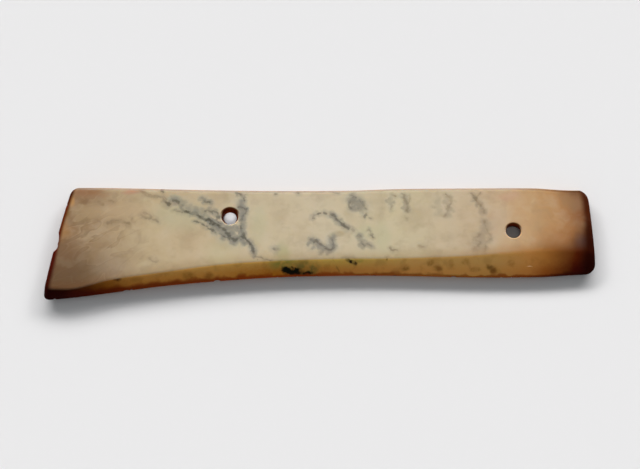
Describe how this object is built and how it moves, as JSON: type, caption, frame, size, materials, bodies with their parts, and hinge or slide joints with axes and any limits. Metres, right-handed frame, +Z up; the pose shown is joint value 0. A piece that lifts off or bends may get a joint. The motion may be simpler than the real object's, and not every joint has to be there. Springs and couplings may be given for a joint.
{
  "type": "harvesting knife",
  "caption": "Thin polished jade reaping knife with drilled lashing holes, a flared heel and a ground bevel along its slightly hollow cutting edge.",
  "frame": {"origin": "the middle of the blade's box, on the surface that its flat back lies on", "axes": "+X along the blade from the deep heel to the narrow toe, +Y across it from the cutting edge to the spine, +Z up through its thickness"},
  "size_m": [0.24, 0.0517, 0.006],
  "materials": {
    "jade": "polished nephrite, cream with grey-green veins, brown to near black at the ends and edge"
  },
  "bodies": {
    "root": {"blade": "jade"}
  },
  "joints": []
}
